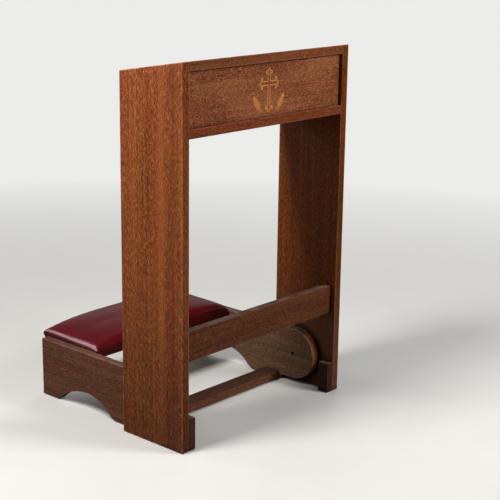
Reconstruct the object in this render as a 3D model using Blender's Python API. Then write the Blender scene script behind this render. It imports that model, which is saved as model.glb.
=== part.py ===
"""Folding kneeler, or prie-dieu.

The stand is two side panels joined by a sloped desk top, a recessed front panel, a book shelf and a rail.
The kneeling frame, two shaped arms with a padded board between them, lies on the floor behind the stand and
folds up between the side panels on two pivot bolts.

Metres, +Z up. X runs across, the front panel faces -Y, and the kneeling frame lies towards +Y. The origin is
on the floor, in the middle of the whole footprint.
"""

import math

import bmesh
import bpy
from mathutils import Vector

# Stand
WIDTH = 0.546  # over the two side panels
PANEL_DEPTH = 0.188
PANEL_THICK = 0.021
FRONT_HEIGHT = 0.851
BACK_HEIGHT = 0.818
DESK_THICK = 0.0205
SHELF_UNDERSIDE = 0.691  # above the floor
SHELF_THICK = 0.0205
FRONT_PANEL_THICK = 0.012
FRONT_PANEL_RECESS = 0.0085  # behind the front edges
GROOVE_DEPTH = 0.005  # the front panel's edges sit in grooves
RAIL_UNDERSIDE = 0.201
RAIL_HEIGHT = 0.0695
RAIL_THICK = 0.019
RAIL_RECESS = 0.013
BLOCK_WIDTH = 0.020
BLOCK_DEPTH = 0.029
BLOCK_HEIGHT = 0.075
ARRIS = 0.0015  # rounding of every board's edges

# Arms of the kneeling frame, from the pivot end to the rear end
ARM_THICK = 0.021
ARM_HEIGHT = 0.142
END_CLEARANCE = 0.012  # the rounded end turns this far above the floor
BLOCK_CLEARANCE = 0.016  # from the foot block to the rounded end
TOE_SETBACK = 0.040  # from the pivot to the front of the toe
TOE_LENGTH = 0.082
ARCH_FRONT_SPAN = 0.105  # from the toe to the crown of the arch
ARCH_REAR_SPAN = 0.108  # from the crown to the rear foot
ARCH_RISE = 0.043
RUNOUT_RADIUS = 0.045  # where the arch sweeps out into the toe
REAR_FOOT = 0.056

# Stretcher between the arms
STRETCHER_WIDTH = 0.046
STRETCHER_THICK = 0.020
STRETCHER_LIFT = 0.002  # above the floor

# Kneeling pad and what carries it
PAD_DEPTH = 0.193
PAD_OVERHANG = 0.019  # behind the arms
PAD_SIDE_GAP = 0.0015  # to the arms' inner faces
PAD_SUNK = 0.016  # base of the pad below the arms' top edges
PAD_RISE = 0.007  # upright side of the pad above those edges
PAD_EDGE = 0.010  # radius of the pad's upper edge
PAD_CROWN = 0.013  # middle of the pad above that edge
PAD_FULLNESS = 4  # how soon the crown is reached: 1 is an even slope, more is flatter on top
PAD_BULGE = 0.0045  # the corners swell out over the arms
PAD_DRAW = 0.6  # share of that swelling that is drawn in between the corners
PAD_CORNER = 0.008  # corner radius seen from above
COVER = 0.003  # padding round the edges of the board
BOARD_THICK = 0.012
CLEAT_WIDTH = 0.020
CLEAT_HEIGHT = 0.020
CLEAT_INSET = 0.015  # from the front of the pad
CLEAT_SETBACK = 0.008  # from the back of the arms
SCREW_RADIUS = 0.002
SCREW_HEAD_RADIUS = 0.004
SCREW_HEAD = 0.0025
SCREW_TIP = 0.004
ARM_BITE = 0.010  # how far the cleat screws reach into the arm
BOARD_BITE = 0.008  # how far the pad screws reach into the board
CLEAT_SCREW_INSET = 0.025  # from the cleat's ends
PAD_SCREW_INSET = 0.050

# Pivots
PIVOT_GAP = 0.002  # from the side panel to the arm
BOLT_RADIUS = 0.003
HEAD_RADIUS = 0.005
HEAD_HEIGHT = 0.005
HEAD_RECESS = 0.006  # depth of the head's pocket in the arm
HEAD_PLAY = 0.0007  # round the head in its pocket
SOCKET_RADIUS = 0.0029
SOCKET_DEPTH = 0.003
BUSH_WALL = 0.0017
WASHER_RADIUS = 0.009
INSERT_WALL = 0.0017
INSERT_LENGTH = 0.013
INSERT_SPARE = 0.001  # the bolt stops this far short of the insert's end

# Dowels
DOWEL_RADIUS = 0.004
DOWEL_LENGTH = 0.026
DOWEL_BITE = 0.012  # how far a dowel reaches into the side panel or the arm
DOWEL_CHAMFER = 0.001
EDGE_TO_DOWEL = 0.035  # desk top and shelf, from the front and back edges
RAIL_DOWEL_SPACING = 0.036
BLOCK_DOWEL_SPACING = 0.038
STRETCHER_DOWEL_SPACING = 0.022

FIT = 0.0003  # clearance between pieces that touch

# Places that follow from the sizes, as distances from the middle plane, the front edges and the floor
PANEL_INNER = WIDTH / 2 - PANEL_THICK
ARM_OUTER = PANEL_INNER - PIVOT_GAP
ARM_INNER = ARM_OUTER - ARM_THICK
END_RADIUS = (ARM_HEIGHT - END_CLEARANCE) / 2
PIVOT_BACK = BLOCK_DEPTH + BLOCK_CLEARANCE + END_RADIUS
TOE_FRONT = PIVOT_BACK + TOE_SETBACK
TOE_BACK = TOE_FRONT + TOE_LENGTH
ARCH_CROWN = TOE_BACK + ARCH_FRONT_SPAN
FOOT_FRONT = ARCH_CROWN + ARCH_REAR_SPAN
ARM_BACK = FOOT_FRONT + REAR_FOOT
DEPTH = ARM_BACK + PAD_OVERHANG
FRONT = -DEPTH / 2
PIVOT = Vector((0, FRONT + PIVOT_BACK, END_CLEARANCE + END_RADIUS))
SLOPE = (FRONT_HEIGHT - BACK_HEIGHT) / PANEL_DEPTH
DESK_DROP = DESK_THICK * math.hypot(1, SLOPE)
SHELF_TOP = SHELF_UNDERSIDE + SHELF_THICK
PAD_BASE = ARM_HEIGHT - PAD_SUNK
PAD_MIDDLE = FRONT + DEPTH - PAD_DEPTH / 2

ARC_STEP = math.radians(8)
DOWEL_SIDES = 12
SCREW_SIDES = 10
BOLT_SIDES = 20
SIDES = (("left", -1), ("right", 1))

# Finishes: colour, roughness, metallic
WALNUT = ((0.20, 0.075, 0.03), 0.42, 0.0)
WALNUT_DARK = ((0.12, 0.045, 0.02), 0.42, 0.0)
WALNUT_GREY = ((0.14, 0.07, 0.035), 0.45, 0.0)
BEECH = ((0.55, 0.38, 0.22), 0.6, 0.0)
PLYWOOD = ((0.50, 0.36, 0.22), 0.65, 0.0)
BURGUNDY = ((0.16, 0.012, 0.02), 0.38, 0.0)
DARK_STEEL = ((0.05, 0.045, 0.04), 0.4, 1.0)
ZINC = ((0.6, 0.6, 0.58), 0.35, 1.0)
BRASS = ((0.62, 0.45, 0.18), 0.35, 1.0)
NYLON = ((0.75, 0.74, 0.70), 0.5, 0.0)


def principled(name, finish):
    colour, roughness, metallic = finish
    made = bpy.data.materials.new(name)
    made.use_nodes = True
    shader = made.node_tree.nodes["Principled BSDF"]
    shader.inputs["Base Color"].default_value = (*colour, 1)
    shader.inputs["Roughness"].default_value = roughness
    shader.inputs["Metallic"].default_value = metallic
    return made


def mesh_of(name, shape, origin=(0, 0, 0)):
    """Turns a bmesh that is drawn in place into a mesh whose own origin lies at this point."""
    bmesh.ops.translate(shape, verts=shape.verts, vec=-Vector(origin))
    bmesh.ops.recalc_face_normals(shape, faces=shape.faces)
    mesh = bpy.data.meshes.new(name)
    shape.to_mesh(mesh)
    shape.free()
    return mesh


def put(name, mesh, location, parent=None, turn=(0, 0, 0)):
    piece = bpy.data.objects.new(name, mesh)
    bpy.context.scene.collection.objects.link(piece)
    piece.parent = parent
    piece.location = Vector(location) - (parent.location if parent else Vector())
    piece.rotation_euler = turn
    return piece


def board(name, shape, finish, origin, parent=None):
    """A board with its arrises rounded, so that holes cut later stay crisp."""
    mesh = mesh_of(name, shape, origin)
    mesh.materials.append(principled(name, finish))
    piece = put(name, mesh, origin, parent)
    arris = piece.modifiers.new("arris", "BEVEL")
    arris.width = ARRIS
    arris.segments = 2
    arris.limit_method = "ANGLE"
    return piece


def round_mesh(name, shape, finish):
    mesh = mesh_of(name, shape)
    mesh.materials.append(principled(name, finish))
    mesh.shade_smooth()
    mesh.set_sharp_from_angle(angle=math.radians(35))
    return mesh


def cutter(name, mesh, location, parent=None, turn=(0, 0, 0)):
    piece = put(name, mesh, location, parent, turn)
    piece.hide_render = True
    piece.display_type = "WIRE"
    return piece


def cut(tool, *pieces):
    for piece in pieces:
        hole = piece.modifiers.new(tool.name, "BOOLEAN")
        hole.operation = "DIFFERENCE"
        hole.solver = "EXACT"
        hole.object = tool


def prism(outline, low, high):
    """An outline of (y, z) points, extruded along X."""
    shape = bmesh.new()
    base = shape.faces.new([shape.verts.new((low, y, z)) for y, z in outline])
    grown = bmesh.ops.extrude_face_region(shape, geom=[base])["geom"]
    moved = [v for v in grown if isinstance(v, bmesh.types.BMVert)]
    bmesh.ops.translate(shape, verts=moved, vec=(high - low, 0, 0))
    return shape


def block(low, high):
    (x0, y0, z0), (x1, y1, z1) = low, high
    return prism([(y0, z0), (y1, z0), (y1, z1), (y0, z1)], x0, x1)


def loft(rings, ring_shaped=False):
    """Skins a stack of rings. The end rings are capped, or joined to each other if the section is ring shaped."""
    shape = bmesh.new()
    loops = [[shape.verts.new(point) for point in ring] for ring in rings]
    pairs = list(zip(loops, loops[1:]))
    if ring_shaped:
        pairs.append((loops[-1], loops[0]))
    else:
        shape.faces.new(loops[0])
        shape.faces.new(loops[-1])
    for one, other in pairs:
        for i in range(len(one)):
            shape.faces.new((one[i - 1], one[i], other[i], other[i - 1]))
    return shape


def turned(profile, sides, sleeve=False):
    """A profile of (x, radius) points, turned round the X axis."""
    corners = [2 * math.pi * (i + 0.5) / sides for i in range(sides)]
    rings = [[(x, r * math.cos(a), r * math.sin(a)) for a in corners] for x, r in profile]
    return loft(rings, ring_shaped=sleeve)


def sleeve(start, end, inner, outer):
    return turned([(start, inner), (start, outer), (end, outer), (end, inner)], BOLT_SIDES, sleeve=True)


def rod(start, end, radius, sides):
    return turned([(start, radius), (end, radius)], sides)


def arc(centre, radius, start, end):
    """Points on an arc, from one angle to another, both ends included."""
    steps = max(3, math.ceil(abs(end - start) / ARC_STEP))
    angles = [start + (end - start) * i / steps for i in range(steps + 1)]
    return [(centre[0] + radius * math.cos(a), centre[1] + radius * math.sin(a)) for a in angles]


def desk_top_height(back):
    """Height of the desk's upper face at this distance behind the front edges."""
    return FRONT_HEIGHT - SLOPE * back


def side_panels():
    made = {}
    outline = [
        (FRONT, 0),
        (FRONT + PANEL_DEPTH, 0),
        (FRONT + PANEL_DEPTH, BACK_HEIGHT),
        (FRONT, FRONT_HEIGHT),
    ]
    for side, sign in SIDES:
        middle = sign * (PANEL_INNER + PANEL_THICK / 2)
        shape = prism(outline, middle - PANEL_THICK / 2, middle + PANEL_THICK / 2)
        made[side] = board(side + "_side_panel", shape, WALNUT, (middle, FRONT, 0))
    return made


def desk_top():
    back = FRONT + PANEL_DEPTH
    outline = [
        (FRONT, FRONT_HEIGHT),
        (FRONT, FRONT_HEIGHT - DESK_DROP),
        (back, BACK_HEIGHT - DESK_DROP),
        (back, BACK_HEIGHT),
    ]
    reach = PANEL_INNER - FIT
    return board("desk_top", prism(outline, -reach, reach), WALNUT_DARK, (0, FRONT, FRONT_HEIGHT))


def book_shelf():
    reach = PANEL_INNER - FIT
    low = (-reach, FRONT, SHELF_UNDERSIDE)
    high = (reach, FRONT + PANEL_DEPTH, SHELF_TOP)
    return board("book_shelf", block(low, high), WALNUT_DARK, (0, FRONT, SHELF_UNDERSIDE))


def front_panel(neighbours):
    """The recessed panel, held all round in grooves of the boards that frame it."""
    near = FRONT + FRONT_PANEL_RECESS
    far = near + FRONT_PANEL_THICK
    underside = min(desk_top_height(FRONT_PANEL_RECESS), desk_top_height(FRONT_PANEL_RECESS + FRONT_PANEL_THICK))
    low = Vector((-PANEL_INNER - GROOVE_DEPTH, near, SHELF_TOP - GROOVE_DEPTH))
    high = Vector((PANEL_INNER + GROOVE_DEPTH, far, underside - DESK_DROP + GROOVE_DEPTH))
    play = Vector((FIT, FIT, FIT))
    origin = (0, near, SHELF_TOP)
    groove = cutter("front_panel_groove", mesh_of("front_panel_groove", block(low - play, high + play), origin), origin)
    cut(groove, *neighbours)
    mesh = mesh_of("front_panel", block(low, high), origin)
    mesh.materials.append(principled("front_panel", WALNUT))
    return put("front_panel", mesh, origin)


def mid_rail():
    reach = PANEL_INNER - FIT
    near = FRONT + RAIL_RECESS
    low = (-reach, near, RAIL_UNDERSIDE)
    high = (reach, near + RAIL_THICK, RAIL_UNDERSIDE + RAIL_HEIGHT)
    return board("mid_rail", block(low, high), WALNUT_DARK, (0, near, RAIL_UNDERSIDE))


def foot_blocks():
    made = {}
    for side, sign in SIDES:
        ends = sorted((sign * (PANEL_INNER - FIT), sign * (PANEL_INNER - FIT - BLOCK_WIDTH)))
        low = (ends[0], FRONT, 0)
        high = (ends[1], FRONT + BLOCK_DEPTH, BLOCK_HEIGHT)
        origin = (sign * PANEL_INNER, FRONT, 0)
        made[side] = board(side + "_foot_block", block(low, high), WALNUT_DARK, origin)
    return made


def arm_outline():
    """Side view of an arm: rear foot, straight top, rounded pivot end, cove, toe and ogee arch."""
    quarter = math.pi / 2
    sum_of_radii = (ARCH_FRONT_SPAN**2 + ARCH_RISE**2) / (2 * ARCH_RISE)
    crown_radius = sum_of_radii - RUNOUT_RADIUS
    rear_radius = (ARCH_REAR_SPAN**2 + ARCH_RISE**2) / (2 * ARCH_RISE)
    turn = math.atan2(ARCH_RISE - sum_of_radii, ARCH_FRONT_SPAN)
    foot = math.atan2(rear_radius - ARCH_RISE, ARCH_REAR_SPAN)
    crown = FRONT + ARCH_CROWN
    toe_front = FRONT + TOE_FRONT
    toe_back = FRONT + TOE_BACK
    outline = [(FRONT + ARM_BACK, 0), (FRONT + ARM_BACK, ARM_HEIGHT)]
    outline += arc((PIVOT.y, PIVOT.z), END_RADIUS, quarter, 3 * quarter)
    outline += arc((toe_front - END_CLEARANCE, 0), END_CLEARANCE, quarter, 0)
    outline += arc((toe_back, RUNOUT_RADIUS), RUNOUT_RADIUS, -quarter, turn)
    outline += arc((crown, ARCH_RISE - crown_radius), crown_radius, turn + math.pi, quarter)[1:]
    outline += arc((crown, ARCH_RISE - rear_radius), rear_radius, quarter, foot)[1:]
    return outline


def arms(pivot):
    made = {}
    for side, sign in SIDES:
        ends = sorted((sign * ARM_INNER, sign * ARM_OUTER))
        origin = (sign * ARM_INNER, PIVOT.y, PIVOT.z)
        made[side] = board(side + "_arm", prism(arm_outline(), *ends), WALNUT_GREY, origin, pivot)
    return made


def stretcher(pivot):
    reach = ARM_INNER - FIT
    near = FRONT + TOE_FRONT
    low = (-reach, near, STRETCHER_LIFT)
    high = (reach, near + STRETCHER_WIDTH, STRETCHER_LIFT + STRETCHER_THICK)
    return board("stretcher", block(low, high), WALNUT_DARK, (0, near, STRETCHER_LIFT), pivot)


def dowels(name, places, face, outer, inner, pivot=None):
    """Seats dowels across the joint between an inner board and what it meets on each side, and drills both.

    The places are (y, z) points, and the joint face lies this far from the middle plane.
    """
    half = DOWEL_LENGTH / 2
    flat = half - DOWEL_CHAMFER
    end = DOWEL_RADIUS - DOWEL_CHAMFER
    profile = [(-half, end), (-flat, DOWEL_RADIUS), (flat, DOWEL_RADIUS), (half, end)]
    mesh = round_mesh(name, turned(profile, DOWEL_SIDES), BEECH)
    drill = mesh_of(name + "_hole", rod(-half - FIT, half + FIT, DOWEL_RADIUS + FIT, DOWEL_SIDES))
    for side, sign in SIDES:
        met = inner[side] if isinstance(inner, dict) else inner
        for i, (y, z) in enumerate(places):
            label = f"{side}_{name}_{i + 1}"
            middle = (sign * (face + DOWEL_BITE - half), y, z)
            put(label, mesh, middle, pivot)
            cut(cutter(label + "_hole", drill, middle, pivot), outer[side], met)


def stand_dowels(panels, desk, shelf, rail, blocks):
    backs = (EDGE_TO_DOWEL, PANEL_DEPTH - EDGE_TO_DOWEL)
    desk_places = [(FRONT + back, desk_top_height(back) - DESK_DROP / 2) for back in backs]
    dowels("desk_dowel", desk_places, PANEL_INNER, panels, desk)
    shelf_places = [(FRONT + back, SHELF_UNDERSIDE + SHELF_THICK / 2) for back in backs]
    dowels("shelf_dowel", shelf_places, PANEL_INNER, panels, shelf)
    rail_y = FRONT + RAIL_RECESS + RAIL_THICK / 2
    rail_z = RAIL_UNDERSIDE + RAIL_HEIGHT / 2
    rail_places = [(rail_y, rail_z + way * RAIL_DOWEL_SPACING / 2) for way in (-1, 1)]
    dowels("rail_dowel", rail_places, PANEL_INNER, panels, rail)
    block_y = FRONT + BLOCK_DEPTH / 2
    block_places = [(block_y, BLOCK_HEIGHT / 2 + way * BLOCK_DOWEL_SPACING / 2) for way in (-1, 1)]
    dowels("block_dowel", block_places, PANEL_INNER, panels, blocks)


def stretcher_dowels(made_arms, bar, pivot):
    middle = FRONT + TOE_FRONT + STRETCHER_WIDTH / 2
    height = STRETCHER_LIFT + STRETCHER_THICK / 2
    places = [(middle + way * STRETCHER_DOWEL_SPACING / 2, height) for way in (-1, 1)]
    dowels("stretcher_dowel", places, ARM_INNER, made_arms, bar, pivot)


def pivot_sets(panels, made_arms, pivot):
    """Bolt, bush, washer and insert on the pivot line. X runs outwards from the arm's inner face."""
    running = BOLT_RADIUS + FIT
    bush = running + BUSH_WALL
    insert = running + INSERT_WALL
    panel_face = ARM_THICK + PIVOT_GAP
    head_back = HEAD_RECESS - FIT
    head_front = head_back - HEAD_HEIGHT
    tip = panel_face + INSERT_LENGTH - INSERT_SPARE
    bolt_profile = [(head_front, HEAD_RADIUS), (head_back, HEAD_RADIUS), (head_back, BOLT_RADIUS), (tip, BOLT_RADIUS)]
    bolt_mesh = round_mesh("pivot_bolt", turned(bolt_profile, BOLT_SIDES), DARK_STEEL)
    bush_mesh = round_mesh("pivot_bush", sleeve(HEAD_RECESS, ARM_THICK, running, bush), NYLON)
    washer_mesh = round_mesh("pivot_washer", sleeve(ARM_THICK + FIT, panel_face - FIT, running, WASHER_RADIUS), ZINC)
    insert_mesh = round_mesh("pivot_insert", sleeve(panel_face, panel_face + INSERT_LENGTH, running, insert), BRASS)
    socket = mesh_of("socket", rod(head_front - SOCKET_DEPTH, head_front + SOCKET_DEPTH, SOCKET_RADIUS, 6))
    pocket = mesh_of("pocket", rod(-HEAD_RECESS, HEAD_RECESS, HEAD_RADIUS + HEAD_PLAY, BOLT_SIDES))
    bore = mesh_of("bore", rod(0, ARM_THICK + PIVOT_GAP / 2, bush + FIT, BOLT_SIDES))
    seat_start = ARM_THICK + PIVOT_GAP / 2
    seat = mesh_of("seat", rod(seat_start, panel_face + INSERT_LENGTH + FIT, insert + FIT, BOLT_SIDES))
    for side, sign in SIDES:
        place = (sign * ARM_INNER, PIVOT.y, PIVOT.z)
        turn = (0, 0, 0 if sign > 0 else math.pi)
        bolt = put(side + "_pivot_bolt", bolt_mesh, place, turn=turn)
        cut(cutter(side + "_socket", socket, place, turn=turn), bolt)
        put(side + "_pivot_washer", washer_mesh, place, turn=turn)
        put(side + "_pivot_insert", insert_mesh, place, turn=turn)
        cut(cutter(side + "_insert_seat", seat, place, turn=turn), panels[side])
        put(side + "_pivot_bush", bush_mesh, place, pivot, turn)
        cut(cutter(side + "_head_pocket", pocket, place, pivot, turn), made_arms[side])
        cut(cutter(side + "_bush_bore", bore, place, pivot, turn), made_arms[side])


def pad_ring(half_x, half_y, corner, swell, height):
    """A rounded rectangle round the pad's middle. It swells at its corners and is drawn in between them."""
    long_steps, short_steps, corner_steps = 9, 5, 4
    steps = (short_steps, long_steps, short_steps, long_steps)
    ring = []
    for quarter, count in enumerate(steps):
        out = quarter * math.pi / 2
        along = out + math.pi / 2
        far, wide = (half_x, half_y) if quarter % 2 == 0 else (half_y, half_x)
        straight = wide - corner
        for i in range(count):
            u = 2 * (i + 0.5) / count - 1
            puff = far + swell * (1 - PAD_DRAW * (1 - u * u))
            ring.append((
                puff * math.cos(out) + u * straight * math.cos(along),
                puff * math.sin(out) + u * straight * math.sin(along),
            ))
        hub_x = (far - corner) * math.cos(out) + straight * math.cos(along)
        hub_y = (far - corner) * math.sin(out) + straight * math.sin(along)
        for i in range(corner_steps + 1):
            turn = out + math.pi / 2 * i / corner_steps
            ring.append((
                hub_x + (corner + swell) * math.cos(turn),
                hub_y + (corner + swell) * math.sin(turn),
            ))
    return [(x, PAD_MIDDLE + y, height) for x, y in ring]


def kneeling_pad(pivot):
    """The cushion: an upright side, a rounded edge, a crowned top and a pocket below for the board."""
    half_x = ARM_INNER - PAD_SIDE_GAP
    half_y = PAD_DEPTH / 2 - PAD_BULGE
    pocket_top = PAD_BASE + BOARD_THICK + FIT
    edge = ARM_HEIGHT + PAD_RISE
    inner = (half_x - COVER, half_y - COVER, PAD_CORNER - COVER, 0)
    rings = [pad_ring(*inner, pocket_top), pad_ring(*inner, PAD_BASE)]
    for height, swell in ((PAD_BASE, 0), (ARM_HEIGHT + FIT, 0), (ARM_HEIGHT + PAD_RISE / 2, 0.75), (edge, 1)):
        rings.append(pad_ring(half_x, half_y, PAD_CORNER, swell * PAD_BULGE, height))
    edge_steps, crown_steps = 4, 6
    for i in range(1, edge_steps + 1):
        turn = math.pi / 2 * i / edge_steps
        inset = PAD_EDGE * (1 - math.cos(turn))
        height = edge + PAD_EDGE * math.sin(turn)
        rings.append(pad_ring(half_x - inset, half_y - inset, PAD_CORNER, PAD_BULGE * math.cos(turn), height))
    width_left = half_y - PAD_EDGE
    for i in range(1, crown_steps + 1):
        share = i / (crown_steps + 0.5)
        inset = PAD_EDGE + width_left * share
        height = edge + PAD_EDGE + PAD_CROWN * (1 - (1 - share) ** PAD_FULLNESS)
        corner = min(PAD_CORNER, (half_y - inset) * 0.9)
        rings.append(pad_ring(half_x - inset, half_y - inset, corner, 0, height))
    origin = (0, PAD_MIDDLE, PAD_BASE)
    mesh = mesh_of("kneeling_pad", loft(rings), origin)
    mesh.materials.append(principled("kneeling_pad", BURGUNDY))
    mesh.shade_smooth()
    mesh.set_sharp_from_angle(angle=math.radians(50))
    return put("kneeling_pad", mesh, origin, pivot)


def pad_board(pivot):
    play = COVER + FIT
    half_x = ARM_INNER - PAD_SIDE_GAP - play
    half_y = PAD_DEPTH / 2 - PAD_BULGE - play
    rings = [pad_ring(half_x, half_y, PAD_CORNER - play, 0, PAD_BASE + up) for up in (0, BOARD_THICK)]
    origin = (0, PAD_MIDDLE, PAD_BASE)
    mesh = mesh_of("pad_board", loft(rings), origin)
    mesh.materials.append(principled("pad_board", PLYWOOD))
    return put("pad_board", mesh, origin, pivot)


def screw_profile(length, play):
    """A countersunk wood screw from its head to its tip, or its hole when given some play."""
    return [
        (-play, SCREW_HEAD_RADIUS + play),
        (SCREW_HEAD, SCREW_RADIUS + play),
        (length - SCREW_TIP, SCREW_RADIUS + play),
        (length + play, SCREW_RADIUS / 2 + play),
    ]


def cleats(made_arms, plate, pivot):
    """The battens that carry the pad board, each screwed to its arm and up into the board."""
    near = PAD_MIDDLE - PAD_DEPTH / 2 + CLEAT_INSET
    far = FRONT + ARM_BACK - CLEAT_SETBACK
    top = PAD_BASE - FIT
    low = top - CLEAT_HEIGHT
    inner = ARM_INNER - FIT - CLEAT_WIDTH
    arm_screw = CLEAT_WIDTH + ARM_BITE
    pad_screw = CLEAT_HEIGHT + BOARD_BITE
    arm_mesh = round_mesh("cleat_screw", turned(screw_profile(arm_screw, 0), SCREW_SIDES), ZINC)
    arm_hole = mesh_of("cleat_screw_hole", turned(screw_profile(arm_screw, FIT), SCREW_SIDES))
    pad_mesh = round_mesh("pad_screw", turned(screw_profile(pad_screw, 0), SCREW_SIDES), ZINC)
    pad_hole = mesh_of("pad_screw_hole", turned(screw_profile(pad_screw, FIT), SCREW_SIDES))
    up = (0, -math.pi / 2, 0)
    for side, sign in SIDES:
        ends = sorted((sign * inner, sign * (ARM_INNER - FIT)))
        origin = (sign * ARM_INNER, near, low)
        cleat = board(side + "_cleat", block((ends[0], near, low), (ends[1], far, top)), BEECH, origin, pivot)
        out = (0, 0, 0 if sign > 0 else math.pi)
        for i, y in enumerate((near + CLEAT_SCREW_INSET, far - CLEAT_SCREW_INSET)):
            label = f"{side}_cleat_screw_{i + 1}"
            place = (sign * (inner + FIT), y, low + CLEAT_HEIGHT / 2)
            put(label, arm_mesh, place, pivot, out)
            cut(cutter(label + "_hole", arm_hole, place, pivot, out), cleat, made_arms[side])
        for i, y in enumerate((near + PAD_SCREW_INSET, far - PAD_SCREW_INSET)):
            label = f"{side}_pad_screw_{i + 1}"
            place = (sign * (inner + CLEAT_WIDTH / 2), y, low + FIT)
            put(label, pad_mesh, place, pivot, up)
            cut(cutter(label + "_hole", pad_hole, place, pivot, up), cleat, plate)


def clear_scene():
    for piece in list(bpy.data.objects):
        bpy.data.objects.remove(piece, do_unlink=True)


def main():
    clear_scene()
    panels = side_panels()
    desk = desk_top()
    shelf = book_shelf()
    front_panel([*panels.values(), desk, shelf])
    stand_dowels(panels, desk, shelf, mid_rail(), foot_blocks())
    pivot = bpy.data.objects.new("kneeler_pivot", None)
    bpy.context.scene.collection.objects.link(pivot)
    pivot.location = PIVOT
    made_arms = arms(pivot)
    stretcher_dowels(made_arms, stretcher(pivot), pivot)
    pivot_sets(panels, made_arms, pivot)
    kneeling_pad(pivot)
    cleats(made_arms, pad_board(pivot), pivot)


main()
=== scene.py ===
# %% [markdown]
# # A folding kneeler, dressed around its CAD model
# This kneeler is a narrow walnut stand with a sloped desk, and a padded kneeling frame
# that swings up between the two side panels. The CAD model already holds every board,
# bolt and screw at its real size and place, in metres. The lesson gives those boards
# their finish, and makes what the CAD model leaves plain: the gilt ornament and the
# upholstered pad.

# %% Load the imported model
import math

import bmesh
import bpy
import numpy as np
from mathutils import Matrix, Vector


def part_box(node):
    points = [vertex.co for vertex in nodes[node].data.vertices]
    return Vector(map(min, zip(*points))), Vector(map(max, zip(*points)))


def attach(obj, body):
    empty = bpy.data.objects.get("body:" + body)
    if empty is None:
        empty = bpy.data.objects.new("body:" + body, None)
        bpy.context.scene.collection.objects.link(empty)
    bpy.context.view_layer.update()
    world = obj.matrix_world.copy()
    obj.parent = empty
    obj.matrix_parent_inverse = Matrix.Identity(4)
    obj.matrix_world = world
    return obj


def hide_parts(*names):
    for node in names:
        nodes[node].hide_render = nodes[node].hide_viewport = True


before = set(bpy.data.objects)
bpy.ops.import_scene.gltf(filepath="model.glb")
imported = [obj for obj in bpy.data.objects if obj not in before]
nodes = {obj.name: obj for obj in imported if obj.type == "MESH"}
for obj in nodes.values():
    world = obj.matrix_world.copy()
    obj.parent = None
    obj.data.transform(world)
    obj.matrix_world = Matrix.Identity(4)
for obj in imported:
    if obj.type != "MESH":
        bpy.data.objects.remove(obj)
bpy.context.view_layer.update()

scene = bpy.context.scene
scene.view_settings.view_transform = "Standard"

# %% [markdown]
# ## The camera
# The straight edges of the stand fix where a camera stood: its three angles, its place
# and its lens were fitted together until every edge fell on its line. A camera can also
# be aimed with a Track To constraint, but a rolled camera is easier to write as a
# matrix. Its columns are what lies to the right, what is up, and what is behind.

# %% Camera
EYE = Vector((-2.07225, -2.05139, 1.14334))
YAW, PITCH, ROLL = (math.radians(angle) for angle in (48.3136, 15.0116, 0.8286))
LENS = 90.724  # millimetres, on a sensor 36 mm wide


def put(name, data):
    """A new object that holds this mesh, lamp or camera, placed in the scene."""
    holder = bpy.data.objects.new(name, data)
    scene.collection.objects.link(holder)
    return holder


ahead = Vector((math.sin(YAW) * math.cos(PITCH), math.cos(YAW) * math.cos(PITCH), -math.sin(PITCH)))
level = ahead.cross(Vector((0, 0, 1))).normalized()
right = math.cos(ROLL) * level + math.sin(ROLL) * level.cross(ahead)
upward = right.cross(ahead)

camera = put("camera", bpy.data.cameras.new("camera"))
camera.data.lens = LENS
camera.matrix_world = Matrix.Translation(EYE) @ Matrix((right, upward, -ahead)).transposed().to_4x4()
scene.camera = camera

# %% [markdown]
# ## Small helpers for shader nodes
# Every finish below is a tree of nodes. Nodes can be added and wired one line at a time,
# but then the wiring hides the idea. One helper adds a node, sets its options and fills
# its inputs at once: an input that is given a socket is linked, and anything else is
# taken as a value. One tree is open at a time, as in the Shader Editor, and all helpers
# work on that one. Colours are written as they look on a screen, from 0 to 255, and
# turned into the linear numbers that Blender's sockets hold.

# %% Node helpers
bench = {}  # holds the node tree that is open


def paint(red, green, blue):
    """A screen colour as Blender's linear colour."""
    share = [c / 255 for c in (red, green, blue)]
    return tuple(c / 12.92 if c <= 0.04045 else ((c + 0.055) / 1.055) ** 2.4 for c in share) + (1.0,)


def open_tree(tree):
    """From here on, nodes are added to this tree."""
    bench["tree"] = tree


def link(source, target):
    bench["tree"].links.new(source, target)


def add(kind, inputs=(), **options):
    """A new node of that kind, with its options set and its inputs filled."""
    placed = bench["tree"].nodes
    node = placed.new("ShaderNode" + kind)
    node.location = (190 * (len(placed) % 12), -240 * (len(placed) // 12))
    for name, value in options.items():
        setattr(node, name, value)
    for key, value in dict(inputs).items():
        if isinstance(value, bpy.types.NodeSocket):
            link(value, node.inputs[key])
        else:
            node.inputs[key].default_value = value
    return node


def calc(operation, first, second=0.0, third=0.0):
    return add("Math", {0: first, 1: second, 2: third}, operation=operation).outputs[0]


def times(first, second):
    return calc("MULTIPLY", first, second)


def span(value, low, high, to_low=0.0, to_high=1.0):
    """Stretches what lies between low and high over a new range, and clamps the rest."""
    ends = {"Value": value, "From Min": low, "From Max": high, "To Min": to_low, "To Max": to_high}
    return add("MapRange", ends).outputs["Result"]


def mix(share, first, second):
    return add("Mix", {0: share, 6: first, 7: second}, data_type="RGBA").outputs[2]


def axis_of(vector, axis):
    return add("SeparateXYZ", {0: vector}).outputs[axis]


def here():
    """The point that is being shaded."""
    return add("TexCoord").outputs["Object"]


def at(axis):
    """How far along an axis that point lies."""
    return axis_of(here(), axis)


def facing(axis):
    """How much a surface faces along an axis."""
    return axis_of(add("TexCoord").outputs["Normal"], axis)


def vectors(operation, *inputs):
    return add("VectorMath", enumerate(inputs), operation=operation).outputs


def stretched(vector, factors):
    return vectors("MULTIPLY", vector, factors)[0]


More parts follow.
